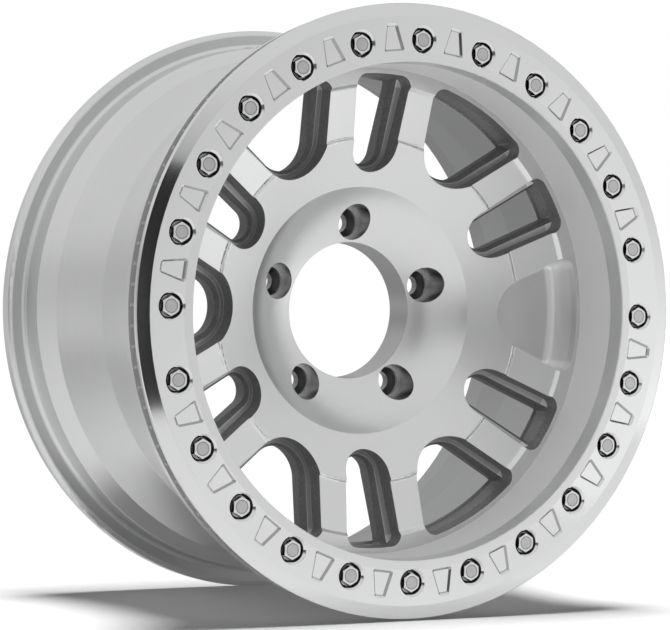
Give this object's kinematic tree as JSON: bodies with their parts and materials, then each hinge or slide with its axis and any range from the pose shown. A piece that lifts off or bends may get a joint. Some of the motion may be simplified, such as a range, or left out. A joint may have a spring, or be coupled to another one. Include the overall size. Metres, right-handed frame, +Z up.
{
  "type": "beadlock wheel",
  "caption": "Off-road car wheel with a deep dished, windowed centre in a turned rim barrel and a bolted outer ring that clamps the tyre's front bead.",
  "frame": {"origin": "on the axle at the hub's mounting face", "axes": "+Y along the axle from the face towards the vehicle, +Z up, +X to the right of a viewer in front of the face"},
  "size_m": [0.4678, 0.258, 0.4678],
  "materials": {
    "barrel_aluminium": "turned, bare",
    "centre_aluminium": "turned face, milled window walls",
    "ring_aluminium": "fine turned, bright",
    "weld_aluminium": "as welded",
    "bolt_steel": "zinc plated",
    "washer_steel": "zinc plated"
  },
  "bodies": {
    "root": {"rim_barrel": "barrel_aluminium", "wheel_centre": "centre_aluminium", "beadlock_ring": "ring_aluminium", "centre_weld": "weld_aluminium", "ring_bolts": "bolt_steel", "ring_washers": "washer_steel"}
  },
  "joints": []
}
